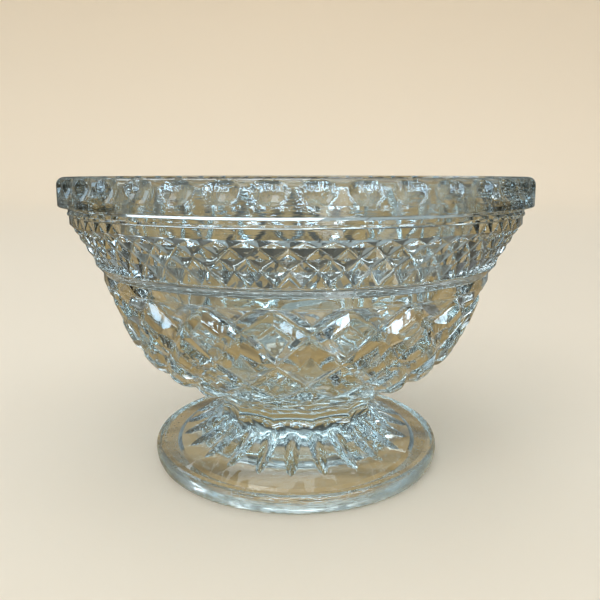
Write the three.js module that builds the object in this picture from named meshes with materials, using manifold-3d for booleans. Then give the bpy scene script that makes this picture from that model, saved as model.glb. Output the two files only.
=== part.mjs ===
// Footed bowl of clear pressed glass, for sweets.
//
// Millimetres, +Z up.  The origin is the centre of the circle on which the foot stands.
// Two glass bodies meet face to face at the waist of the stem: the bowl and the foot.
// Angles run anticlockwise from -Y, seen from above, and every pattern is counted from
// the same mould seam.

import * as THREE from 'three';
import { mergeVertices } from 'three/addons/utils/BufferGeometryUtils.js';
import Module from 'manifold-3d';

const wasm = await Module();
wasm.setup();

// ---- driving dimensions, heights ------------------------------------------------------

const FOOT_HEIGHT = 18.5;          // table to the waist of the stem, where bowl meets foot
const STEM_FLARE_HEIGHT = 4.0;     // waist to the underside of the bowl
const BODY_HEIGHT = 37.5;          // underside of the bowl to its plain shoulder
const SHOULDER_HEIGHT = 2.6;       // plain band above the large diamonds
const STEP_HEIGHT = 2.4;           // slope from the shoulder out to the lip
const LIP_HEIGHT = 0.3;            // plain lip under the small diamonds
const BAND_HEIGHT = 11.5;          // band of small diamonds
const NECK_HEIGHT = 2.5;           // plain neck above the small diamonds
const UNDERCUT_HEIGHT = 2.4;       // slope from the neck out to the collar
const COLLAR_HEIGHT = 7.9;         // thick collar round the rim

// ---- driving dimensions, radii --------------------------------------------------------

const COLLAR_RADIUS = 70.5;        // outside of the collar
const COLLAR_ROUND = 2.6;          // rounding of its top edge
const COLLAR_WALL = 5.0;           // glass left at the rim
const NECK_INSET = 2.8;            // collar to neck
const BAND_TAPER = 6.3;            // neck to lip, down the small diamonds
const STEP_INSET = 2.1;            // lip to shoulder
const STEM_RADIUS = 24.0;          // corners of the twelve-sided waist
const STEM_FLARE = 2.0;            // those corners to the edge of the bowl's underside
const FOOT_RADIUS = 46.5;          // widest part of the foot

// Handles of the body's outside curve, as shares of its inset and of its height.
const BODY_UPPER_HANDLE = { inset: 0.168, drop: 0.42 };
const BODY_LOWER_HANDLE = { inset: 0.2, drop: 0.78 };

// ---- driving dimensions, glass inside the bowl ----------------------------------------

const FLOOR_GLASS = 7.0;           // bowl's underside to the floor inside it
const FLOOR_RADIUS = 20.0;         // flat part of that floor
const UPPER_WALL = 5.3;            // glass that the inside curve aims for at the shoulder
const LOWER_WALL = 9.3;            // glass that it aims for beside the floor

// ---- driving dimensions, patterns -----------------------------------------------------

const MOULD_SEAM = THREE.MathUtils.degToRad(12.7);
const INSIDE_FACETS = 48;
const THUMBPRINTS = 44;
const PRINT_OFFSET = THREE.MathUtils.degToRad(-0.8);   // seam to the nearest thumbprint
const PRINT_RADIUS = 4.0;
const PRINT_DEPTH = 1.2;
const PRINT_DROP = 5.5;            // rim to the bottom of each print
const SMALL_DIAMONDS = 64;
const SMALL_DEPTH = 1.1;
const LARGE_DIAMONDS = 20;
const LARGE_DEPTH = 2.5;
const LARGE_DEPTH_LOW = 1.0;       // the grooves run out shallower under the bowl
const STEM_PANELS = 12;
const FOOT_RIBS = 24;
const RIB_HEIGHT = 1.3;

// Heights of the rows where the small grooves cross, down from the neck.
const SMALL_ROWS = [0.4, 1.8, 4.5, 7.4, 11.4];
// Lengths along the body, from one row of large groove crossings to the next.
const LARGE_ROWS = [1.0, 7.4, 9.9, 7.9, 7.2, 6.4, 5.6];

// ---- driving dimensions, foot ---------------------------------------------------------

const FOOT_EDGE = 5.8;             // thickness of the foot's edge
const EDGE_ROUND = 1.0;            // rounding over that edge
const FOOT_BORDER = 2.7;           // width of the plain border inside the edge
const BORDER_STEP = 0.3;           // small step down at the inside of the border
const REST_INSET = 1.2;            // widest part of the foot to the ring that it stands on
const REST_WIDTH = 6.9;            // width of that ring
const REST_STEP = 0.8;             // step up at the inside of the ring
const HOLLOW_DEPTH = 2.2;          // hollow under the foot
const HOLLOW_FLAT = 0.6;           // flat part of the hollow, as a share of its radius
const FOOT_PLAIN = 8.5;            // widest part of the foot to the toe of the stem's flare
const FLARE_HEIGHT = 6.9;          // height of that toe
const TOE_DROP = 0.4;              // the foot slopes down this much just outside the toe
const TOE_HANDLE = { run: 0.43, rise: 0.103 };     // shares of the flare's run and rise
const WAIST_HANDLE = { run: 0.029, rise: 0.603 };
const PANEL_FADE = 3.0;            // the twelve panels fade out this far above the toe
const TOE_WIDTH = 1.5;             // width of that slope
const RIB_CLEARANCE = 1.0;         // the ribs start this far outside the waist
const RIB_TIP_INSET = 0.8;         // and end this far inside the toe

// ---- levels and radii worked out from them --------------------------------------------

const UNDERSIDE_Z = FOOT_HEIGHT + STEM_FLARE_HEIGHT;
const SHOULDER_Z = UNDERSIDE_Z + BODY_HEIGHT;
const STEP_Z = SHOULDER_Z + SHOULDER_HEIGHT;
const LIP_Z = STEP_Z + STEP_HEIGHT;
const BAND_Z = LIP_Z + LIP_HEIGHT;
const NECK_Z = BAND_Z + BAND_HEIGHT;
const UNDERCUT_Z = NECK_Z + NECK_HEIGHT;
const COLLAR_Z = UNDERCUT_Z + UNDERCUT_HEIGHT;
const RIM_Z = COLLAR_Z + COLLAR_HEIGHT;
const FLOOR_Z = UNDERSIDE_Z + FLOOR_GLASS;

const NECK_RADIUS = COLLAR_RADIUS - NECK_INSET;
const LIP_RADIUS = NECK_RADIUS - BAND_TAPER;
const SHOULDER_RADIUS = LIP_RADIUS - STEP_INSET;
const UNDERSIDE_RADIUS = STEM_RADIUS + STEM_FLARE;
const BODY_INSET = SHOULDER_RADIUS - UNDERSIDE_RADIUS;
const RIM_INNER_RADIUS = COLLAR_RADIUS - COLLAR_WALL;

const REST_OUTER = FOOT_RADIUS - REST_INSET;
const REST_INNER = REST_OUTER - REST_WIDTH;
const FLARE_RADIUS = FOOT_RADIUS - FOOT_PLAIN;
const RIB_START = STEM_RADIUS + RIB_CLEARANCE;
const RIB_END = FLARE_RADIUS - RIB_TIP_INSET;

const OVERLAP = 3.0;               // how far one blank runs on inside the next before joining
const TURN = 2 * Math.PI;

// ---- solids ---------------------------------------------------------------------------

const ring = (r, z, row = null) => ({ r, z, row });

// Outward direction of a profile at one of its points.
function profileNormal(profile, index) {
  const before = profile[Math.max(index - 1, 0)];
  const after = profile[Math.min(index + 1, profile.length - 1)];
  return new THREE.Vector2(after.z - before.z, before.r - after.r).normalize();
}

// Two triangles for one cell, folded along the diagonal whose ends lie equally deep, or
// along the deeper one.
function cellTriangles(corners, depths) {
  const [a, b, c, d] = corners;
  const [da, db, dc, dd] = depths;
  const tie = Math.abs(Math.abs(da - dc) - Math.abs(db - dd)) < 1e-6;
  const foldAC = tie ? da + dc >= db + dd : Math.abs(da - dc) < Math.abs(db - dd);
  return foldAC ? [a, b, c, a, c, d] : [a, b, d, b, c, d];
}

// Lathe turned about Z, whose rings sink into the surface by depthAt(row, angle).
function turned(profile, segments, start = MOULD_SEAM, depthAt = () => 0) {
  const outline = profile.map((p) => new THREE.Vector2(p.r, p.z));
  const geometry = new THREE.LatheGeometry(outline, segments);
  const position = geometry.attributes.position;
  const depths = [];
  for (let i = 0; i <= segments; i += 1) {
    const angle = start + (TURN * (i % segments)) / segments;
    for (let j = 0; j < profile.length; j += 1) {
      const { r, z, row } = profile[j];
      const depth = row === null ? 0 : depthAt(row, angle);
      const normal = profileNormal(profile, j);
      const radius = r - depth * normal.x;
      depths.push(depth);
      position.setXYZ(
        i * profile.length + j,
        radius * Math.sin(angle),
        -radius * Math.cos(angle),
        z - depth * normal.y,
      );
    }
  }
  const index = [];
  for (let i = 0; i < segments; i += 1) {
    for (let j = 0; j < profile.length - 1; j += 1) {
      const a = i * profile.length + j;
      const corners = [a, a + profile.length, a + profile.length + 1, a + 1];
      index.push(...cellTriangles(corners, corners.map((k) => depths[k])));
    }
  }
  geometry.setIndex(index);
  return solid(geometry);
}

// Closed solid from a geometry, without the triangles that shrink to a line on the axis.
function solid(geometry) {
  geometry.deleteAttribute('normal');
  geometry.deleteAttribute('uv');
  const merged = mergeVertices(geometry, 1e-4);
  const triangles = [];
  for (let i = 0; i < merged.index.count; i += 3) {
    const [a, b, c] = [0, 1, 2].map((k) => merged.index.getX(i + k));
    if (a !== b && b !== c && c !== a) triangles.push(a, b, c);
  }
  return new wasm.Manifold(new wasm.Mesh({
    numProp: 3,
    vertProperties: new Float32Array(merged.attributes.position.array),
    triVerts: new Uint32Array(triangles),
  }));
}

const joined = (solids) => solids.reduce((sum, next) => sum.add(next));

function meshOf(shape, name, material) {
  const { vertProperties, triVerts } = shape.getMesh();
  const geometry = new THREE.BufferGeometry();
  geometry.setAttribute('position', new THREE.BufferAttribute(vertProperties, 3));
  geometry.setIndex(new THREE.BufferAttribute(triVerts, 1));
  geometry.computeVertexNormals();
  const mesh = new THREE.Mesh(geometry, material);
  mesh.name = name;
  return mesh;
}

// ---- diamond lattice ------------------------------------------------------------------

// Distance from the nearest whole number, 0 to 0.5.
const fromWhole = (x) => Math.abs(x - Math.round(x));

// Grooves cross where (column + row) is even.  The result is 0 in a groove and 0.5 in the
// middle of a diamond.
function latticeRise(column, row) {
  return Math.min(fromWhole((column + row) / 2), fromWhole((column - row) / 2));
}

// ---- bowl -----------------------------------------------------------------------------

function collarBlank() {
  const slope = NECK_INSET / UNDERCUT_HEIGHT;
  const start = ring(NECK_RADIUS - OVERLAP, UNDERCUT_Z - OVERLAP / slope);
  const round = new THREE.EllipseCurve(
    COLLAR_RADIUS - COLLAR_ROUND, RIM_Z - COLLAR_ROUND, COLLAR_ROUND, COLLAR_ROUND, 0, Math.PI / 2,
  );
  return turned([
    ring(0, start.z),
    start,
    ring(COLLAR_RADIUS, COLLAR_Z),
    ...round.getPoints(2).map((p) => ring(p.x, p.y)),
    ring(0, RIM_Z),
  ], 2 * THUMBPRINTS, MOULD_SEAM + PRINT_OFFSET);
}

// U-shaped cutters that open at the rim, one for each thumbprint.
function thumbprints() {
  const outline = new THREE.Shape();
  const centre = RIM_Z - PRINT_DROP + PRINT_RADIUS;
  const clearance = 1;
  outline.moveTo(PRINT_RADIUS, RIM_Z + clearance);
  outline.lineTo(-PRINT_RADIUS, RIM_Z + clearance);
  outline.absarc(0, centre, PRINT_RADIUS, Math.PI, TURN, false);
  const cutters = [];
  for (let k = 0; k < THUMBPRINTS; k += 1) {
    const cutter = new THREE.ExtrudeGeometry(outline, {
      depth: PRINT_DEPTH + clearance, bevelEnabled: false, curveSegments: 4,
    });
    cutter.rotateX(Math.PI / 2);
    cutter.translate(0, PRINT_DEPTH - COLLAR_RADIUS, 0);
    cutter.rotateZ(MOULD_SEAM + PRINT_OFFSET + (TURN * k) / THUMBPRINTS);
    cutters.push(solid(cutter));
  }
  return joined(cutters);
}

// Neck, small diamonds and lip, tapering down to the step.
function bandBlank() {
  const radiusAt = (drop) => NECK_RADIUS - (BAND_TAPER * drop) / BAND_HEIGHT;
  const lattice = SMALL_ROWS.map((drop, row) => ring(radiusAt(drop), NECK_Z - drop, row));
  const slope = STEP_INSET / STEP_HEIGHT;
  const end = ring(SHOULDER_RADIUS - OVERLAP, STEP_Z - OVERLAP / slope);
  const profile = [
    ring(0, end.z),
    end,
    ring(LIP_RADIUS, LIP_Z),
    ring(LIP_RADIUS, BAND_Z),
    ...lattice.reverse(),
    ring(NECK_RADIUS, NECK_Z),
    ring(NECK_RADIUS, COLLAR_Z),
    ring(0, COLLAR_Z),
  ];
  const columnWidth = TURN / (2 * SMALL_DIAMONDS);
  return turned(profile, 2 * SMALL_DIAMONDS, MOULD_SEAM, (row, angle) => {
    const column = Math.round((angle - MOULD_SEAM) / columnWidth);
    return (column + row) % 2 === 0 ? SMALL_DEPTH : 0;
  });
}

// Outside of the body, from the shoulder down to the underside.
function bodyCurve() {
  const handle = ({ inset, drop }) => new THREE.Vector2(
    SHOULDER_RADIUS - inset * BODY_INSET,
    SHOULDER_Z - drop * BODY_HEIGHT,
  );
  return new THREE.CubicBezierCurve(
    new THREE.Vector2(SHOULDER_RADIUS, SHOULDER_Z),
    handle(BODY_UPPER_HANDLE),
    handle(BODY_LOWER_HANDLE),
    new THREE.Vector2(UNDERSIDE_RADIUS, UNDERSIDE_Z),
  );
}

// Rings down the body at each row of groove crossings and halfway between the rows.
function bodyRings() {
  const curve = bodyCurve();
  const length = curve.getLength();
  const rings = [];
  let along = 0;
  LARGE_ROWS.forEach((step, row) => {
    const halves = row === 0 ? [1] : [0.5, 1];
    halves.forEach((half) => {
      const p = curve.getPointAt(Math.min((along + half * step) / length, 1));
      rings.push(ring(p.x, p.y, row - 1 + half));
    });
    along += step;
  });
  return rings;
}

function bodyBlank() {
  const rings = bodyRings();
  const profile = [
    ring(0, UNDERSIDE_Z),
    ring(UNDERSIDE_RADIUS, UNDERSIDE_Z),
    ...rings.reverse(),
    ring(SHOULDER_RADIUS, SHOULDER_Z),
    ring(SHOULDER_RADIUS, LIP_Z),
    ring(0, LIP_Z),
  ];
  const lastRow = LARGE_ROWS.length - 1;
  const halfColumn = TURN / (4 * LARGE_DIAMONDS);
  return turned(profile, 4 * LARGE_DIAMONDS, MOULD_SEAM, (row, angle) => {
    const column = Math.round((angle - MOULD_SEAM) / halfColumn) / 2;
    const depth = THREE.MathUtils.lerp(LARGE_DEPTH, LARGE_DEPTH_LOW, row / lastRow);
    return depth * (1 - Math.min(1, 4 * latticeRise(column, row)));
  });
}

// Twelve-sided flare from the waist up into the underside of the bowl.
function stemBlank() {
  const flare = new THREE.QuadraticBezierCurve(
    new THREE.Vector2(STEM_RADIUS, FOOT_HEIGHT),
    new THREE.Vector2(STEM_RADIUS, UNDERSIDE_Z),
    new THREE.Vector2(UNDERSIDE_RADIUS + OVERLAP, UNDERSIDE_Z + OVERLAP),
  );
  return turned([
    ring(0, FOOT_HEIGHT),
    ...flare.getPoints(4).map((p) => ring(p.x, p.y)),
    ring(0, UNDERSIDE_Z + OVERLAP),
  ], STEM_PANELS);
}

function cavity() {
  const inside = new THREE.CubicBezierCurve(
    new THREE.Vector2(FLOOR_RADIUS, FLOOR_Z),
    new THREE.Vector2(SHOULDER_RADIUS - LOWER_WALL, FLOOR_Z),
    new THREE.Vector2(SHOULDER_RADIUS - UPPER_WALL, SHOULDER_Z),
    new THREE.Vector2(RIM_INNER_RADIUS, RIM_Z),
  );
  return turned([
    ring(0, FLOOR_Z),
    ...inside.getPoints(9).map((p) => ring(p.x, p.y)),
    ring(RIM_INNER_RADIUS, RIM_Z + OVERLAP),
    ring(0, RIM_Z + OVERLAP),
  ], INSIDE_FACETS);
}

function bowl() {
  const blank = joined([collarBlank(), bandBlank(), bodyBlank(), stemBlank()]);
  return blank.subtract(cavity()).subtract(thumbprints());
}

// ---- foot -----------------------------------------------------------------------------

// Radius of a twelve-sided section, as a share of the radius of its corners.
function panelShare(angle) {
  const half = Math.PI / STEM_PANELS;
  const offset = fromWhole(((angle - MOULD_SEAM) / TURN) * STEM_PANELS) * 2 * half;
  return Math.cos(half) / Math.cos(half - offset);
}

// Height of the pointed ribs over the flare of the foot.
function ribRise(radius, angle) {
  const along = (radius - RIB_START) / (RIB_END - RIB_START);
  if (along <= 0 || along >= 1) return 0;
  const across = 2 * fromWhole(((angle - MOULD_SEAM) / TURN) * FOOT_RIBS);
  const narrowing = 1 - along * along;
  return RIB_HEIGHT * Math.sqrt(Math.sin(Math.PI * along)) * Math.max(0, 1 - across / narrowing);
}

// Top of the foot, from the toe of its flare up to the waist.
function flareCurve() {
  const run = FLARE_RADIUS - STEM_RADIUS;
  const rise = FOOT_HEIGHT - FLARE_HEIGHT;
  return new THREE.CubicBezierCurve(
    new THREE.Vector2(FLARE_RADIUS, FLARE_HEIGHT),
    new THREE.Vector2(FLARE_RADIUS - TOE_HANDLE.run * run, FLARE_HEIGHT + TOE_HANDLE.rise * rise),
    new THREE.Vector2(STEM_RADIUS + WAIST_HANDLE.run * run, FOOT_HEIGHT - WAIST_HANDLE.rise * rise),
    new THREE.Vector2(STEM_RADIUS, FOOT_HEIGHT),
  );
}

function footProfile() {
  const edgeTop = FOOT_EDGE - EDGE_ROUND;
  const sine = Math.SQRT1_2;
  return [
    ring(0, HOLLOW_DEPTH),
    ring(REST_INNER * HOLLOW_FLAT, HOLLOW_DEPTH),
    ring(REST_INNER, REST_STEP),
    ring(REST_INNER, 0),
    ring(REST_OUTER, 0),
    ring(FOOT_RADIUS, FOOT_EDGE / 2),
    ring(FOOT_RADIUS - EDGE_ROUND * (1 - sine), edgeTop + EDGE_ROUND * sine),
    ring(FOOT_RADIUS - EDGE_ROUND, FOOT_EDGE),
    ring(FOOT_RADIUS - FOOT_BORDER, FOOT_EDGE),
    ring(FOOT_RADIUS - FOOT_BORDER - BORDER_STEP, FOOT_EDGE - BORDER_STEP),
    ring(FLARE_RADIUS + TOE_WIDTH, FLARE_HEIGHT - TOE_DROP),
    ...flareCurve().getPoints(7).map((p, i) => ring(p.x, p.y, i)),
    ring(0, FOOT_HEIGHT),
  ];
}

function foot() {
  const profile = footProfile();
  const flared = profile.filter((p) => p.row !== null);
  const waist = flared[flared.length - 1];
  return turned(profile, 3 * FOOT_RIBS, MOULD_SEAM, (row, angle) => {
    const { r, z } = flared[row];
    const squareness = THREE.MathUtils.smoothstep(z, FLARE_HEIGHT + PANEL_FADE, waist.z);
    const panel = squareness * r * (1 - panelShare(angle));
    return panel - ribRise(r, angle);
  });
}

// ---- the dish -------------------------------------------------------------------------

const glass = (color) => new THREE.MeshStandardMaterial({ color, roughness: 0.06, metalness: 0 });

const dish = new THREE.Group();
dish.add(
  meshOf(bowl(), 'bowl', glass(0xc9d0c6)),
  meshOf(foot(), 'foot', glass(0xc4c8b8)),
);

export default dish;
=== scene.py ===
"""Footed bowl of clear pressed glass on a pale table, in soft studio light.

Sizes of the glass are in millimetres, and the stage, cards and lights are in metres.  Angles
round the glass run anticlockwise from -Y, seen from above, and patterns count from one mould
seam.
"""
import math

import bpy
import numpy as np
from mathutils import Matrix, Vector

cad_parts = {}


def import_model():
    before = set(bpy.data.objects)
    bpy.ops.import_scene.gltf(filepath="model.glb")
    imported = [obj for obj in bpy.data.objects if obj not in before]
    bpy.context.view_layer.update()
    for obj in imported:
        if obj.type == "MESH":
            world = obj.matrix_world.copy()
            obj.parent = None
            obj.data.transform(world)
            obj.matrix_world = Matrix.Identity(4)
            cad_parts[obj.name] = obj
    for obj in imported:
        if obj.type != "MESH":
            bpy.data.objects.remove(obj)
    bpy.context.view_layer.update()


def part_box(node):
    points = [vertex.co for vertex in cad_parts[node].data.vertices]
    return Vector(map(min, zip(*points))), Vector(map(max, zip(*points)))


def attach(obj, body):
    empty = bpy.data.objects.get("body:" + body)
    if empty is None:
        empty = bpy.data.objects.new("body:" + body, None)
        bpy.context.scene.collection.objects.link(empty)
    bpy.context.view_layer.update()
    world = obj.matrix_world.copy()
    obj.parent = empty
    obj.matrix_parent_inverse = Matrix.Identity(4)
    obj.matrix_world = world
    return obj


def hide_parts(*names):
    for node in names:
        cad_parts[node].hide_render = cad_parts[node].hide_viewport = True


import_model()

MM = 0.001
TURN = 2 * math.pi

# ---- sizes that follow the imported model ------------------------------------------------

bowl_low, bowl_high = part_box("bowl")
foot_low, foot_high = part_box("foot")
RIM_Z = bowl_high.z / MM
WAIST_Z = bowl_low.z / MM
COLLAR_R = bowl_high.x / MM
FOOT_R = foot_high.x / MM

# ---- heights of the bands, down from the rim --------------------------------------------

COLLAR_HEIGHT = 7.9
UNDERCUT_HEIGHT = 2.4
NECK_HEIGHT = 2.5
BAND_HEIGHT = 11.5
LIP_HEIGHT = 0.3
STEP_HEIGHT = 2.4
SHOULDER_HEIGHT = 2.6
STEM_FLARE_HEIGHT = 4.0
FLOOR_GLASS = 7.0               # bowl's underside to the floor inside it
COLLAR_Z = RIM_Z - COLLAR_HEIGHT
UNDERCUT_Z = COLLAR_Z - UNDERCUT_HEIGHT
NECK_Z = UNDERCUT_Z - NECK_HEIGHT
BAND_Z = NECK_Z - BAND_HEIGHT
LIP_Z = BAND_Z - LIP_HEIGHT
STEP_Z = LIP_Z - STEP_HEIGHT
SHOULDER_Z = STEP_Z - SHOULDER_HEIGHT
UNDERSIDE_Z = WAIST_Z + STEM_FLARE_HEIGHT
FLOOR_Z = UNDERSIDE_Z + FLOOR_GLASS

# ---- radii ------------------------------------------------------------------------------

NECK_INSET = 2.8
BAND_TAPER = 6.3                # neck to lip, down the small diamonds
STEP_INSET = 2.1
BODY_INSET = 33.3               # shoulder to the edge of the bowl's underside
RIM_WALL = 5.0
UPPER_WALL = 5.3                # glass that the inside curve aims for at the shoulder
LOWER_WALL = 9.3                # glass that it aims for beside the floor
NECK_R = COLLAR_R - NECK_INSET
LIP_R = NECK_R - BAND_TAPER
SHOULDER_R = LIP_R - STEP_INSET
UNDERSIDE_R = SHOULDER_R - BODY_INSET
RIM_INNER_R = COLLAR_R - RIM_WALL
STEM_R = 24.0
FLOOR_R = 20.0
TOE_R = 38.0                    # foot of the stem's flare
TOE_Z = 6.9

# ---- collar and thumbprints ---------------------------------------------------------------

RIM_ROUND = 2.2                 # rounding of the outer top edge
INNER_EDGE_DROP = 1.2           # rim to the top of the inside curve
PRINTS = 44
PRINT_OFFSET = math.radians(-0.8)
PRINT_R = 4.0
PRINT_DEPTH = 1.4
PRINT_DROP = 5.5                # rim to the bottom of each print
PRINT_EDGE = 0.35               # how far a print's rounded edge reaches outwards
PRINT_EASE = 0.07               # how far that edge is worn down
PRINT_LEAST = 0.5               # half width below which a row of a print isn't worth shaping
PRINT_Z = RIM_Z - PRINT_DROP + PRINT_R          # height of the middle of its round end
HALF_SHARES = np.array([0.2, 0.4, 0.62, 0.82, 0.94, 1])
PRINT_SHARES = np.concatenate([-HALF_SHARES[::-1], [0], HALF_SHARES])
PRINT_COLUMNS = len(PRINT_SHARES) + 5

# ---- other patterns -----------------------------------------------------------------------

SEAM = math.radians(12.7)
SEAMS = 4
SEAM_HALF = 0.0035              # half the width of a mould seam, in radians
SEAM_RISE = 0.12
TURNED = 512                    # columns of a plain turned band
SMALL = 64
SMALL_DEPTH = 1.1
SMALL_SOFTNESS = 0.05           # roundness of the valleys, as a share of a diamond
SMALL_TIP = 0.90                # the tips are cut off at this share of their height
SMALL_FINE = 6                  # cells along each half diamond
SMALL_ROWS = [0.4, 1.8, 4.5, 7.4, 11.4]         # crossings, down from the neck
LARGE = 20
LARGE_DEPTH = 2.5
LARGE_DEPTH_LOW = 1.0
LARGE_BEVEL = 3.0
LARGE_SOFTNESS = 0.2
LARGE_ROUNDING = 0.004          # squared roundness of the bevels' upper edges
LARGE_FINE = 12
LARGE_ABOVE = 0.14              # share of a row between the shoulder and the top crossings
LARGE_ROWS = [1.0, 7.4, 9.9, 7.9, 7.2, 6.4, 5.6]        # spacing of crossings down the body
PANELS = 12
PANEL_HOLLOW = 1.6              # the panels are hollowed this much deeper than flat ones
PANEL_FADE_Z = 9.9              # they fade out between the waist and here
RIBS = 24
RIB_HEIGHT = 1.3
RIB_WIDTH = 0.72                # share of a rib's sector that it takes up at the stem
RIB_START = STEM_R + 1.0
RIB_END = TOE_R - 0.8

# ---- foot ---------------------------------------------------------------------------------

FOOT_EDGE = 5.8                 # thickness of the foot's edge
BORDER_WIDTH = 2.75
REST_INNER_R = 38.6             # inside of the ring that the foot stands on
HOLLOW_Z = 2.2                  # height of the hollow under the foot
SHARP = math.radians(24)        # edges that bend more than this are shaded sharp


# ---- mesh building ----------------------------------------------------------------------

class Shell:
    """Closed mesh made of bands of rings round the axis, each band with its own columns."""

    def __init__(self):
        self.points = []
        self.faces = []
        self.count = 0
        self.last = None

    def add_points(self, angle, radius, height):
        xyz = np.stack([radius * np.sin(angle), -radius * np.cos(angle), height], -1)
        self.points.append(xyz.reshape(-1, 3))
        first = self.count
        self.count += xyz.size // 3
        return first

    def pole(self, height):
        """A single point on the axis, joined to the last ring or to the next one."""
        index = self.add_points(np.zeros(1), np.zeros(1), np.full(1, height))
        if self.last is not None:
            ring = self.last[1]
            after = np.roll(ring, -1)
            self.faces.append(np.stack([ring, np.full_like(ring, index), after], 1))
        self.last = ("pole", index)

    def band(self, angle, radius, height, fold=None):
        """rows x columns arrays; fold is +1 or -1 for each cell, for the way it is split."""
        rows, columns = radius.shape
        angle = np.broadcast_to(angle, radius.shape)
        height = np.broadcast_to(height, radius.shape)
        first = self.add_points(angle, radius, height)
        index = first + np.arange(rows * columns).reshape(rows, columns)
        self.join(index[0], angle[0])
        a = index[:-1]
        b = np.roll(index, -1, 1)[:-1]
        c = np.roll(index, -1, 1)[1:]
        d = index[1:]
        if fold is None:
            fold = np.ones(a.shape)
        ac = (np.broadcast_to(fold, a.shape) > 0)[..., None]
        one = np.where(ac, np.stack([a, d, c], -1), np.stack([a, d, b], -1))
        two = np.where(ac, np.stack([a, c, b], -1), np.stack([b, d, c], -1))
        self.faces += [one.reshape(-1, 3), two.reshape(-1, 3)]
        self.last = (angle[-1], index[-1])

    def join(self, ring, angle):
        """Triangles from the last ring, or pole, to this one."""
        if self.last is None:
            return
        if isinstance(self.last[0], str):
            apex = self.last[1]
            after = np.roll(ring, -1)
            self.faces.append(np.stack([np.full_like(ring, apex), ring, after], 1))
            return
        old_angle, old = self.last
        self.faces.append(zipped(old, old_angle, ring, angle))

    def mesh(self, name):
        points = np.concatenate(self.points) * MM
        faces = np.concatenate(self.faces)
        data = bpy.data.meshes.new(name)
        data.vertices.add(len(points))
        data.vertices.foreach_set("co", points.ravel())
        data.loops.add(faces.size)
        data.loops.foreach_set("vertex_index", faces.ravel().astype(np.int32))
        data.polygons.add(len(faces))
        data.polygons.foreach_set("loop_start", np.arange(0, faces.size, 3, dtype=np.int32))
        data.update(calc_edges=True)
        data.validate()
        return data


def zipped(upper, upper_angle, lower, lower_angle):
    """Triangles between two rings that may have different numbers of points."""
    n, m = len(upper), len(lower)
    shift = np.round((upper_angle[0] - lower_angle) / TURN)
    start = int(np.argmin(np.abs(lower_angle + shift * TURN - upper_angle[0])))
    base = lower_angle[start] + shift[start] * TURN
    ua = np.append(upper_angle, upper_angle[0] + TURN)
    la = np.roll(lower_angle, -start)
    la = base + np.mod(la - la[0], TURN)
    la = np.append(la, base + TURN)
    lower = np.roll(lower, -start)
    faces = []
    i = j = 0
    while i < n or j < m:
        u, l = upper[i % n], lower[j % m]
        step_upper = j == m or (i < n and ua[i + 1] + ua[i] < la[j + 1] + la[j])
        if step_upper:
            faces.append((u, l, upper[(i + 1) % n]))
            i += 1
        else:
            faces.append((u, l, lower[(j + 1) % m]))
            j += 1
    return np.array(faces)


def bezier(points, count):
    """count + 1 points along a Bezier curve of any degree."""
    t = np.linspace(0, 1, count + 1)[:, None]
    level = [np.array(p, float)[None] * np.ones_like(t) for p in points]
    while len(level) > 1:
        level = [a * (1 - t) + b * t for a, b in zip(level, level[1:])]
    return level[0]


def resampled(path, count):
    """The same path with count + 1 points spaced evenly along it."""
    step = np.hypot(*np.diff(path, axis=0).T)
    along = np.append(0, np.cumsum(step))
    wanted = np.linspace(0, along[-1], count + 1)
    return np.stack([np.interp(wanted, along, path[:, k]) for k in (0, 1)], 1)


def columns(count, start=SEAM):
    return start + TURN * np.arange(count) / count


def from_whole(x):
    return np.abs(x - np.round(x))


def smoothstep(x, low, high):
    t = np.clip((x - low) / (high - low), 0, 1)
    return t * t * (3 - 2 * t)


def plain(path, count, start=SEAM):
    """Angle, radius and height arrays for a plain turned surface along a path."""
    angle = columns(count, start)
    ones = np.ones((len(path), count))
    return angle[None] * ones, path[:, :1] * ones, path[:, 1:] * ones


def seamed(path):
    """A plain turned surface with a fine ridge along each mould seam."""
    seams = columns(SEAMS)
    beside = np.concatenate([seams - SEAM_HALF, seams + SEAM_HALF])
    angle = np.sort(np.concatenate([columns(TURNED), beside]) % TURN)
    on_seam = from_whole((angle - SEAM) * SEAMS / TURN) < 1e-6
    ones = np.ones((len(path), len(angle)))
    radius = path[:, :1] + SEAM_RISE * on_seam[None]
    return angle[None] * ones, radius * ones, path[:, 1:] * ones


def wavy(angle, height, size, seed):
    """Faint unevenness of pressed glass, as a sum of nine waves round and up."""
    random = np.random.default_rng(seed)
    waves = 9
    total = np.zeros(np.broadcast(angle, height).shape)
    for _ in range(waves):
        around = random.integers(2, 15)
        up = random.uniform(-0.35, 0.35)
        total = total + np.sin(around * angle + up * height + random.uniform(0, TURN))
    return size * total / math.sqrt(waves)


# ---- the glass ----------------------------------------------------------------------------

def inside(shell):
    curve = bezier([
        (FLOOR_R, FLOOR_Z),
        (SHOULDER_R - LOWER_WALL, FLOOR_Z),
        (SHOULDER_R - UPPER_WALL, SHOULDER_Z),
        (RIM_INNER_R, RIM_Z - INNER_EDGE_DROP),
    ], 200)
    rings = np.linspace(2.5, FLOOR_R, 8)[:-1]
    floor = np.stack([rings, np.full_like(rings, FLOOR_Z)], 1)
    path = np.concatenate([floor, resampled(curve, 60)])
    angle, radius, height = plain(path, 192)
    fade = smoothstep(height, FLOOR_Z, FLOOR_Z + 8) * smoothstep(RIM_Z - height, 0, 6)
    radius = radius + fade * wavy(angle, height, 0.07, 3)
    shell.pole(FLOOR_Z)
    shell.band(angle, radius, height)


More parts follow.
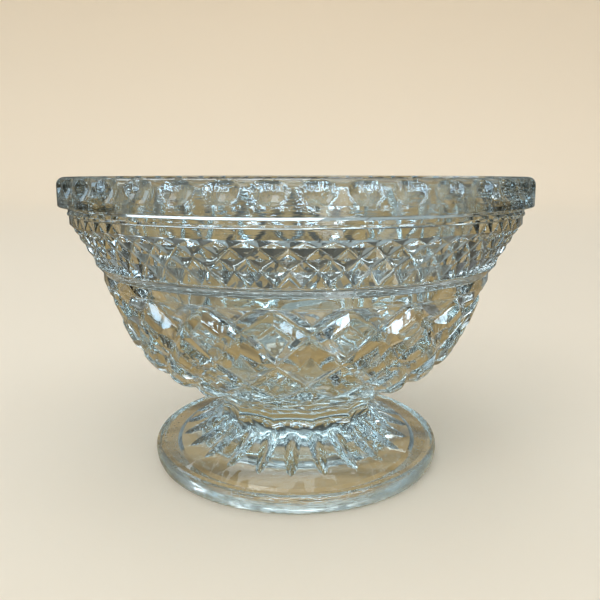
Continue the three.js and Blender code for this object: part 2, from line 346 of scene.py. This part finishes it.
def collar_path():
    """Radius and height from the inner edge of the rim to the collar's lower corner."""
    edge = [
        (RIM_INNER_R + 0.15, RIM_Z - 0.5),
        (RIM_INNER_R + 0.6, RIM_Z - 0.1),
        (RIM_INNER_R + 1.3, RIM_Z),
    ]
    bend = np.radians(np.linspace(0, 90, 7))
    top = np.stack([
        COLLAR_R - RIM_ROUND + RIM_ROUND * np.sin(bend),
        RIM_Z - RIM_ROUND + RIM_ROUND * np.cos(bend),
    ], 1)
    print_z = PRINT_Z - PRINT_R * np.cos(np.radians(np.arange(86, 13, -12)))
    beside = [(COLLAR_R, z) for z in print_z if z < RIM_Z - RIM_ROUND - 0.2]
    below = [
        (COLLAR_R, PRINT_Z - PRINT_R - 0.02),
        (COLLAR_R, COLLAR_Z + 1.2),
        (COLLAR_R, COLLAR_Z + 0.25),
        (COLLAR_R - 0.12, COLLAR_Z + 0.04),
    ]
    return np.concatenate([edge, top, beside, below])


def print_row(r, z):
    """Angles and radii across one thumbprint and the plain glass beside it."""
    half = r * math.pi / PRINTS
    drop = max(PRINT_Z - z, 0)
    reach = math.sqrt(max(PRINT_R**2 - drop**2, 0))
    shaped = reach > PRINT_LEAST
    if shaped:
        edge = min(PRINT_EDGE, (half - reach) / 2)
        between = (half + reach + edge) / 2
        x = np.concatenate([[-half, -between, -reach - edge], PRINT_SHARES * reach,
                            [reach + edge, between]])
    else:
        x = np.linspace(-half, half, PRINT_COLUMNS + 1)[:-1]
    share = np.clip(np.hypot(x, drop) / PRINT_R, 0, 1)
    hollow = COLLAR_R - PRINT_DEPTH * (1 - share**2)
    if shaped:
        hollow -= PRINT_EASE * (np.abs(np.abs(x) - reach) < 1e-6)
    radius = np.minimum(r, hollow) if z < RIM_Z - 0.01 else np.full_like(x, r)
    return x / r, radius


def rim_and_collar(shell):
    """Rim, thumbprints and plain foot of the collar, down to its sharp lower corner."""
    path = collar_path()
    rows = [print_row(r, z) for r, z in path]
    angle = np.stack([row[0] for row in rows])
    radius = np.stack([row[1] for row in rows])
    starts = columns(PRINTS, SEAM + PRINT_OFFSET)
    angle = (angle[:, None, :] + starts[None, :, None]).reshape(len(rows), -1)
    shell.band(angle, np.tile(radius, (1, PRINTS)), path[:, 1:])


def neck(shell):
    """The undercut below the collar, with a fine bead at its foot, and the plain neck."""
    path = np.array([
        (COLLAR_R - 0.4, COLLAR_Z - 0.02),
        (NECK_R + 0.30, UNDERCUT_Z + 1.75),
        (NECK_R + 0.20, UNDERCUT_Z + 1.55),
        (NECK_R + 0.24, UNDERCUT_Z + 0.80),
        (NECK_R + 0.40, UNDERCUT_Z + 0.60),
        (NECK_R + 0.50, UNDERCUT_Z + 0.20),
        (NECK_R + 0.40, UNDERCUT_Z + 0.02),
        (NECK_R + 0.12, UNDERCUT_Z - 0.08),
        (NECK_R, UNDERCUT_Z - 0.25),
        (NECK_R, NECK_Z + 0.3),
    ])
    shell.band(*seamed(path))


def soft_valley(distance, size):
    """The distance, with its sharp bottom at zero rounded off."""
    return np.sqrt(distance**2 + size**2) - size


def crossing(column, row):
    """Distance to the nearer slanting valley: 0 in it and 1 at the middle of a diamond."""
    return np.minimum(from_whole((column + row) / 2), from_whole((column - row) / 2)) * 2


def folds(column, row):
    """Which way to split each cell, so that no split crosses a valley."""
    whole = np.floor(column[0] + 1e-6)[None] + np.floor(row[:-1] + 1e-6)
    return np.where(whole % 2 == 0, 1, -1)


def small_diamonds(shell):
    rows = len(SMALL_ROWS) - 1
    row = np.linspace(0, rows, rows * SMALL_FINE + 1)[:, None]
    drop = np.interp(row, np.arange(rows + 1), SMALL_ROWS)
    count = 2 * SMALL * SMALL_FINE
    column = np.arange(count)[None] / SMALL_FINE
    rise = np.minimum(soft_valley(crossing(column, row), SMALL_SOFTNESS), SMALL_TIP)
    radius = (NECK_R - BAND_TAPER * drop / BAND_HEIGHT) - SMALL_DEPTH * (1 - rise)
    shell.band(*plain(np.array([(NECK_R, NECK_Z)]), TURNED))
    shell.band(columns(count)[None], radius, NECK_Z - drop, folds(column, row))


def lip_and_shoulder(shell):
    path = np.array([
        (LIP_R - 0.25, BAND_Z + 0.05),
        (LIP_R - 0.02, BAND_Z - 0.08),
        (LIP_R + 0.04, LIP_Z + 0.12),
        (LIP_R, LIP_Z),
        (LIP_R - 0.25, LIP_Z - 0.15),
        (SHOULDER_R + 0.25, STEP_Z + 0.2),
        (SHOULDER_R, STEP_Z - 0.2),
        (SHOULDER_R, SHOULDER_Z + 0.4),
    ])
    shell.band(*seamed(path))


def body_path():
    inset = SHOULDER_R - UNDERSIDE_R
    tall = SHOULDER_Z - UNDERSIDE_Z
    return bezier([
        (SHOULDER_R, SHOULDER_Z),
        (SHOULDER_R - 0.168 * inset, SHOULDER_Z - 0.42 * tall),
        (SHOULDER_R - 0.2 * inset, SHOULDER_Z - 0.78 * tall),
        (UNDERSIDE_R, UNDERSIDE_Z),
    ], 400)


def outward(path, along):
    """Unit vectors square to a path, pointing away from the axis on one that runs down."""
    tangent = np.stack([np.gradient(path[:, k], along) for k in (0, 1)], 1)
    tangent /= np.hypot(*tangent.T)[:, None]
    return np.stack([-tangent[:, 1], tangent[:, 0]], 1)


def large_diamonds(shell):
    path = body_path()
    step = np.hypot(*np.diff(path, axis=0).T)
    along = np.append(0, np.cumsum(step))
    crossings = np.cumsum(LARGE_ROWS)
    rows = len(LARGE_ROWS) - 1
    row = np.linspace(0, rows, rows * LARGE_FINE + 1)
    row = np.concatenate([[-LARGE_ABOVE, -LARGE_ABOVE / 2], row])[:, None]
    where = np.interp(row, np.arange(rows + 1), crossings)
    where = np.where(row < 0, crossings[0] * (1 + row / LARGE_ABOVE), where)
    where = np.minimum(where, along[-1])
    r = np.interp(where, along, path[:, 0])
    z = np.interp(where, along, path[:, 1])
    normal = outward(np.hstack([r, z]), where[:, 0])
    count = 2 * LARGE * LARGE_FINE
    column = np.arange(count)[None] / LARGE_FINE
    wide = TURN * r / (2 * LARGE)
    tall = np.interp(row, np.arange(rows) + 0.5, LARGE_ROWS[1:])
    near = crossing(column, row) * wide * tall / np.hypot(wide, tall)
    slope = soft_valley(near, LARGE_SOFTNESS) / LARGE_BEVEL
    share = np.clip(1 - (slope + 1 - np.sqrt((slope - 1)**2 + LARGE_ROUNDING)) / 2, 0, 1)
    depth = np.interp(row, [0, rows], [LARGE_DEPTH, LARGE_DEPTH_LOW])
    sink = depth * smoothstep(where, -0.2, 2.0) * share
    shell.band(columns(count)[None], r - sink * normal[:, :1], z - sink * normal[:, 1:],
               folds(column, row))


def panel_share(angle):
    """Radius of a regular polygon of panels, as a share of the radius of its corners."""
    half = math.pi / PANELS
    offset = from_whole((angle - SEAM) / TURN * PANELS) * 2 * half
    return math.cos(half) / np.cos(half - offset)


def stem(shell):
    path = bezier([
        (UNDERSIDE_R + 0.2, UNDERSIDE_Z + 0.4), (STEM_R + 0.3, UNDERSIDE_Z - 0.2),
        (STEM_R, WAIST_Z + 1.5), (STEM_R, WAIST_Z)], 12)
    angle, radius, height = plain(path, 360)
    square = smoothstep(height, UNDERSIDE_Z + 0.5, UNDERSIDE_Z - 1.5)
    radius = radius * (1 - PANEL_HOLLOW * square * (1 - panel_share(angle)))
    shell.band(angle, radius, height)


def rib_rise(radius, angle):
    """Height of the leaf-shaped ribs, which narrow to a point outwards."""
    along = np.clip((radius - RIB_START) / (RIB_END - RIB_START), 0, 1)
    across = 2 * from_whole((angle - SEAM) / TURN * RIBS)
    narrow = RIB_WIDTH * np.maximum(1 - along, 0.001)**0.6
    section = 1 - np.minimum(across / narrow, 1)**1.6
    return RIB_HEIGHT * np.sqrt(np.sin(math.pi * along)) * section


def foot_top(shell):
    """Stem below the waist, its flare with the ribs, and the gentle slope outside them."""
    flare = bezier([
        (STEM_R, WAIST_Z - 0.3),
        (STEM_R + 0.4, WAIST_Z - 7),
        (TOE_R - 6, TOE_Z + 1.2),
        (TOE_R, TOE_Z),
    ], 30)
    slope = [(TOE_R + 1.5, TOE_Z - 0.4), (TOE_R + 3.5, TOE_Z - 0.9)]
    path = np.concatenate([resampled(flare, 30), slope])
    angle, radius, height = plain(path, 480)
    normal = outward(path, np.arange(len(path)))
    square = smoothstep(height, PANEL_FADE_Z, WAIST_Z)
    hollow = PANEL_HOLLOW * square * radius * (1 - panel_share(angle))
    rise = rib_rise(radius, angle) - hollow
    shell.band(angle, radius + rise * normal[:, :1], height + rise * normal[:, 1:])


def foot_edge(shell):
    """Plain border, rounded edge, the ring that the foot stands on and the hollow under it."""
    inner = FOOT_R - BORDER_WIDTH
    path = np.array([
        (inner - 0.25, FOOT_EDGE - 0.3), (inner, FOOT_EDGE - 0.25),
        (inner + 0.15, FOOT_EDGE - 0.02),
        (FOOT_R - 1.2, FOOT_EDGE), (FOOT_R - 0.5, FOOT_EDGE - 0.3),
        (FOOT_R - 0.1, FOOT_EDGE - 1.1), (FOOT_R, FOOT_EDGE - 2.3),
        (FOOT_R - 0.25, 1.8), (FOOT_R - 0.75, 0.6), (FOOT_R - 1.4, 0.0),
        (REST_INNER_R, 0.0), (REST_INNER_R - 0.4, 0.3), (REST_INNER_R - 1.2, 0.9),
    ])
    shell.band(*plain(path, 360))
    hollow = np.array([
        (34, HOLLOW_Z - 1.05), (28, HOLLOW_Z - 0.4), (22, HOLLOW_Z - 0.05),
        (12, HOLLOW_Z), (4, HOLLOW_Z),
    ])
    shell.band(*plain(hollow, 180))
    shell.pole(HOLLOW_Z)


def build_glass():
    shell = Shell()
    inside(shell)
    rim_and_collar(shell)
    neck(shell)
    small_diamonds(shell)
    lip_and_shoulder(shell)
    large_diamonds(shell)
    stem(shell)
    foot_top(shell)
    foot_edge(shell)
    data = shell.mesh("dish_glass")
    data.shade_smooth()
    data.set_sharp_from_angle(angle=SHARP)
    piece = bpy.data.objects.new("dish_glass", data)
    bpy.context.scene.collection.objects.link(piece)
    return piece


# ---- materials ----------------------------------------------------------------------------

class NodeTree:
    """Short ways to add the shader nodes that the materials share."""

    def __init__(self, owner):
        self.nodes = owner.node_tree.nodes
        self.links = owner.node_tree.links
        self.place = self.nodes.new("ShaderNodeTexCoord")

    def fill(self, socket, value):
        if isinstance(value, bpy.types.NodeSocket):
            self.links.new(value, socket)
        else:
            socket.default_value = value

    def add(self, kind, output, inputs, **settings):
        """A new node with its inputs filled, and the named output of it."""
        node = self.nodes.new("ShaderNode" + kind)
        for name, value in settings.items():
            setattr(node, name, value)
        for name, value in inputs.items():
            self.fill(node.inputs[name], value)
        return node.outputs[output]

    def math(self, operation, a, b):
        return self.add("Math", "Value", {0: a, 1: b}, operation=operation)

    def between(self, value, low, high, start=0.0, end=1.0):
        """The value's place between low and high, as a number from start to end."""
        return self.add("MapRange", "Result", {
            "Value": value, "From Min": low, "From Max": high,
            "To Min": start, "To Max": end})

    def ramp(self, value, stops):
        node = self.nodes.new("ShaderNodeValToRGB")
        while len(node.color_ramp.elements) < len(stops):
            node.color_ramp.elements.new(0.5)
        for element, (where, color) in zip(node.color_ramp.elements, stops):
            element.position = where
            element.color = (*color, 1)
        self.links.new(value, node.inputs["Fac"])
        return node.outputs["Color"]

    def noise(self, scale, detail, stretch=(1, 1, 1), turn=0.0):
        vector = self.add("Mapping", "Vector", {
            "Vector": self.place.outputs["Object"], "Scale": stretch, "Rotation": (0, 0, turn)})
        return self.add("TexNoise", "Fac", {"Vector": vector, "Scale": scale, "Detail": detail})

    def bump(self, height, strength, distance, under=None):
        inputs = {"Height": height, "Strength": strength, "Distance": distance}
        if under is not None:
            inputs["Normal"] = under
        return self.add("Bump", "Normal", inputs)

    def height_and_radius(self):
        """Height above the table and distance from the axis, in metres."""
        where = self.place.outputs["Object"]
        height = self.add("SeparateXYZ", "Z", {"Vector": where})
        flat = self.add("VectorMath", "Vector", {0: where, 1: (1, 1, 0)}, operation="MULTIPLY")
        return height, self.add("VectorMath", "Value", {0: flat}, operation="LENGTH")


CHILLED_COLLAR = 0.15           # strength of the wrinkles at the foot of the collar
CHILLED_RIM = 0.11
CHILLED_FOOT = (1.0, 0.8)       # at the bottom and at the top of the foot's edge
CHILLED_INSIDE = 44.5           # they start at this radius on the foot
CHILLED_SPLIT = 50.0            # height that parts the collar's wrinkles from the foot's
WORN_HEIGHT = 0.4               # the glass is scuffed up to this height above the table
WORN_ROUGHNESS = 0.45
GLASS_IOR = 1.51
GLASS_TINTS = ((0.93, 0.97, 0.945, 1), (0.97, 0.985, 0.965, 1))
GLASS_ABSORPTION = (0.62, 0.74, 0.71, 1)
GLASS_DENSITY = 9.0


def chill(tree, height, radius):
    """Strength of the wrinkles: on the outside of the collar and on the edge of the foot."""
    full = RIM_Z * MM
    grey = tree.ramp(tree.between(height, 0.0, full), [(where / RIM_Z, (value,) * 3)
                     for where, value in (
                         (0.0, CHILLED_FOOT[0]), (FOOT_EDGE - 0.3, CHILLED_FOOT[1]), (7.0, 0.0),
                         (COLLAR_Z - 0.01 * RIM_Z, 0.05), (COLLAR_Z, CHILLED_COLLAR),
                         (RIM_Z, CHILLED_RIM))])
    foot = tree.between(radius, CHILLED_INSIDE * MM, (CHILLED_INSIDE + 1) * MM)
    collar = tree.between(radius, (RIM_INNER_R + 1) * MM, (RIM_INNER_R + 2) * MM)
    above = tree.math("GREATER_THAN", height, CHILLED_SPLIT * MM)
    either = tree.add("Mix", "Result", {"Factor": above, "A": foot, "B": collar})
    return tree.math("MULTIPLY", either, grey)


def glass_material():
    """Clear glass with ripples, and fine level wrinkles where the mould chilled it."""
    material = bpy.data.materials.new("clear_pressed_glass")
    material.use_nodes = True
    tree = NodeTree(material)
    surface = tree.nodes["Principled BSDF"].inputs
    height, radius = tree.height_and_radius()
    ripple = tree.bump(tree.noise(130, 1.5), 0.08, 0.0003)
    level = tree.noise(1.0, 2.0, (110, 110, 1700))
    wrinkle = tree.bump(level, chill(tree, height, radius), 0.0003, ripple)
    worn = tree.between(height, WORN_HEIGHT * MM, 0.0, 0.0, WORN_ROUGHNESS)
    tint = tree.add("Mix", "Result", {
        "Factor": tree.noise(45, 3.0), "A": GLASS_TINTS[0], "B": GLASS_TINTS[1]},
        data_type="RGBA")
    surface["Transmission Weight"].default_value = 1
    surface["IOR"].default_value = GLASS_IOR
    tree.fill(surface["Normal"], wrinkle)
    tree.fill(surface["Roughness"], tree.math("MULTIPLY", worn, tree.noise(900, 5.0)))
    tree.fill(surface["Base Color"], tint)
    inner = tree.add("VolumeAbsorption", "Volume", {
        "Color": GLASS_ABSORPTION, "Density": GLASS_DENSITY})
    tree.fill(tree.nodes["Material Output"].inputs["Volume"], inner)
    return material


def flat_material(name, color, glow=0.0):
    """A plain matt colour, or with a glow a plain emission of that colour."""
    material = bpy.data.materials.new(name)
    material.use_nodes = True
    surface = material.node_tree.nodes["Principled BSDF"].inputs
    surface["Base Color"].default_value = (*color, 1)
    surface["Roughness"].default_value = 0.8
    if glow:
        surface["Base Color"].default_value = (0, 0, 0, 1)
        surface["Specular IOR Level"].default_value = 0
        surface["Emission Color"].default_value = (*color, 1)
        surface["Emission Strength"].default_value = glow
    return material


# ---- stage --------------------------------------------------------------------------------

AIM = Vector((0, 0, 0.06))      # point in the dish that cards and area lights face
WINDOW = (0.55, 0.79, 1.0)
DAYLIGHT = (0.8, 0.9, 1.0)
WOOD = (0.43, 0.315, 0.15)

def staged(name, points, faces, material):
    data = bpy.data.meshes.new(name)
    data.from_pydata([Vector(p) for p in points], [], faces)
    data.materials.append(material)
    made = bpy.data.objects.new(name, data)
    bpy.context.scene.collection.objects.link(made)
    return made


def for_glass_only(thing):
    thing.visible_camera = False
    thing.visible_diffuse = False
    thing.visible_shadow = False


def card(name, azimuth, elevation, distance, size, color, glow):
    """A glowing card that only the glass sees, facing the dish.  Azimuth 0 is behind it."""
    a, e = math.radians(azimuth), math.radians(elevation)
    out = Vector((math.sin(a) * math.cos(e), math.cos(a) * math.cos(e), math.sin(e)))
    centre = AIM + out * distance
    turn = (-out).to_track_quat("Z", "Y")
    corners = [centre + turn @ Vector((x * size[0] / 2, y * size[1] / 2, 0))
               for x, y in ((-1, -1), (1, -1), (1, 1), (-1, 1))]
    made = staged(name, corners, [(0, 1, 2, 3)], flat_material(name, color, glow))
    for_glass_only(made)
    return made


def window_card(name, azimuth, glow):
    """A patch of daylight broken up by darker shapes, as seen through a window."""
    made = card(name, azimuth, 12, 1.0, (0.46, 0.34), WINDOW, glow)
    tree = NodeTree(made.active_material)
    shapes = tree.add("TexNoise", "Fac", {
        "Vector": tree.place.outputs["Object"], "Scale": 14, "Detail": 3})
    level = tree.between(shapes, 0.48, 0.58, 0.03 * glow, 1.3 * glow)
    tree.fill(tree.nodes["Principled BSDF"].inputs["Emission Strength"], level)
    return made


def table_card(radius, color, glow):
    """A round of brown wood-like glow just under the dish, which only the glass sees."""
    count = 48
    points = [(radius * math.sin(a), radius * math.cos(a), -0.0001)
              for a in np.linspace(0, TURN, count, endpoint=False)]
    material = flat_material("card_table", color, glow)
    tree = NodeTree(material)
    grain = tree.noise(1.3, 4, (9, 60, 1), 0.5)
    dark = [0.42 * c for c in color]
    tree.fill(tree.nodes["Principled BSDF"].inputs["Emission Color"],
              tree.ramp(grain, [(0.36, dark), (0.55, color)]))
    made = staged("card_table", points, [tuple(range(count))], material)
    for_glass_only(made)
    return made


def table_and_backdrop():
    """Pale round table top that curves up into a pale wall on every side."""
    pale = flat_material("stage_pale", (0.87, 0.75, 0.60))
    wall, tall, bend = 2.6, 2.2, 0.9
    path = [(0.25, 0.0), (0.6, 0.0)]
    for t in np.linspace(0, math.pi / 2, 16):
        path.append((wall - bend + bend * math.sin(t), bend - bend * math.cos(t)))
    path.append((wall, tall))
    count = 96
    points = [(0, 0, 0)]
    for r, z in path:
        points += [(r * math.sin(a), r * math.cos(a), z)
                   for a in np.linspace(0, TURN, count, endpoint=False)]
    faces = [(0, 1 + (k + 1) % count, 1 + k) for k in range(count)]
    for ring in range(len(path) - 1):
        low, high = 1 + ring * count, 1 + (ring + 1) * count
        faces += [(low + k, low + (k + 1) % count, high + (k + 1) % count, high + k)
                  for k in range(count)]
    sweep = staged("stage_sweep", points, faces, pale)
    sweep.data.shade_smooth()
    sweep.visible_transmission = False
    sweep.visible_glossy = False
    return sweep


def lamp_object(name, kind, power, color, direction):
    """A lamp that shines against the given direction and that the camera doesn't see."""
    lamp = bpy.data.lights.new(name, kind)
    lamp.energy = power
    lamp.color = color
    light = bpy.data.objects.new(name, lamp)
    bpy.context.scene.collection.objects.link(light)
    light.rotation_mode = "QUATERNION"
    light.rotation_quaternion = direction.to_track_quat("Z", "Y")
    light.visible_camera = False
    return light


def area_light(name, place, size, power, color):
    light = lamp_object(name, "AREA", power, color, Vector(place) - AIM)
    light.data.shape = "RECTANGLE"
    light.data.size, light.data.size_y = size
    light.location = place
    return light


def sun_light(name, towards, strength, color):
    """Even light over the table and backdrop from a very wide sky, so with no hard shadow."""
    light = lamp_object(name, "SUN", strength, color, Vector(towards))
    light.data.angle = math.radians(100)
    return light


def world():
    """Dim room of lighter and darker patches: brown low down, grey-green, bluish overhead."""
    made = bpy.data.worlds.new("studio")
    made.use_nodes = True
    tree = NodeTree(made)
    where = tree.place.outputs["Generated"]
    height = tree.between(tree.add("SeparateXYZ", "Z", {"Vector": where}), -1.0, 1.0)
    color = tree.ramp(height, [
        (0.00, (0.15, 0.145, 0.12)),
        (0.46, (0.12, 0.12, 0.105)),
        (0.50, (0.11, 0.12, 0.115)),
        (0.62, (0.13, 0.155, 0.16)),
        (0.78, (0.23, 0.30, 0.34)),
        (0.95, (0.42, 0.58, 0.72)),
    ])
    patches = tree.add("TexVoronoi", "Color", {"Vector": where, "Scale": 4.0})
    patch = tree.add("SeparateColor", "Red", {"Color": patches})
    background = tree.nodes["Background"].inputs
    tree.fill(background["Color"], color)
    tree.fill(background["Strength"], tree.between(patch, 0.0, 1.0, 0.08, 2.1))
    bpy.context.scene.world = made


# ---- camera -------------------------------------------------------------------------------

FOCAL_SHARE = 1.01483           # focal length over the width of the picture
CAMERA_DISTANCE = 194.92
CAMERA_HEIGHT = 90.73
CAMERA_PITCH = math.radians(11.8)
CAMERA_SHIFT = 0.00667          # centres the dish, as a share of the picture
SENSOR = 36


def camera():
    lens = bpy.data.cameras.new("camera")
    lens.sensor_width = SENSOR
    lens.lens = SENSOR * FOCAL_SHARE
    lens.shift_x = CAMERA_SHIFT
    lens.clip_start, lens.clip_end = 0.01, 20
    view = bpy.data.objects.new("camera", lens)
    bpy.context.scene.collection.objects.link(view)
    view.location = (0, -CAMERA_DISTANCE * MM, CAMERA_HEIGHT * MM)
    view.rotation_euler = (math.pi / 2 - CAMERA_PITCH, 0, 0)
    bpy.context.scene.camera = view


# ---- the scene ----------------------------------------------------------------------------

glass = build_glass()
glass.data.materials.append(glass_material())
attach(glass, "root")
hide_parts("bowl", "foot")

table_and_backdrop()
table_card(0.27, WOOD, 1.0)
for k, (azimuth, glow) in enumerate(((138, 13), (167, 25), (196, 27), (225, 14))):
    window_card(f"card_window_{k}", azimuth, glow)
card("card_back_high", -25, 44, 1.0, (0.8, 0.3), DAYLIGHT, 3.0)
card("card_side_left", -80, 25, 1.0, (0.35, 0.5), WINDOW, 3)
card("card_dark_right", 70, 6, 0.9, (0.35, 0.25), (0.02, 0.02, 0.02), 1)
card("card_dark_left", -45, 14, 0.9, (0.3, 0.12), (0.03, 0.03, 0.03), 1)
area_light("window", (-0.5, -0.7, 0.75), (0.4, 0.4), 2.2, (0.92, 0.96, 1.0))
overhead = area_light("overhead", (0.1, 0.15, 1.0), (0.8, 0.8), 3.0, (0.9, 0.95, 1.0))
overhead.visible_diffuse = False
fill = sun_light("fill", (0, -0.6, 1), 1.95, (1.0, 0.97, 0.92))
fill.visible_glossy = False
fill.visible_transmission = False
world()
camera()

GLASS_BOUNCES = 24
scene = bpy.context.scene
scene.view_settings.view_transform = "Standard"
scene.cycles.max_bounces = GLASS_BOUNCES
scene.cycles.transmission_bounces = GLASS_BOUNCES
scene.cycles.transparent_max_bounces = GLASS_BOUNCES
scene.cycles.glossy_bounces = 8
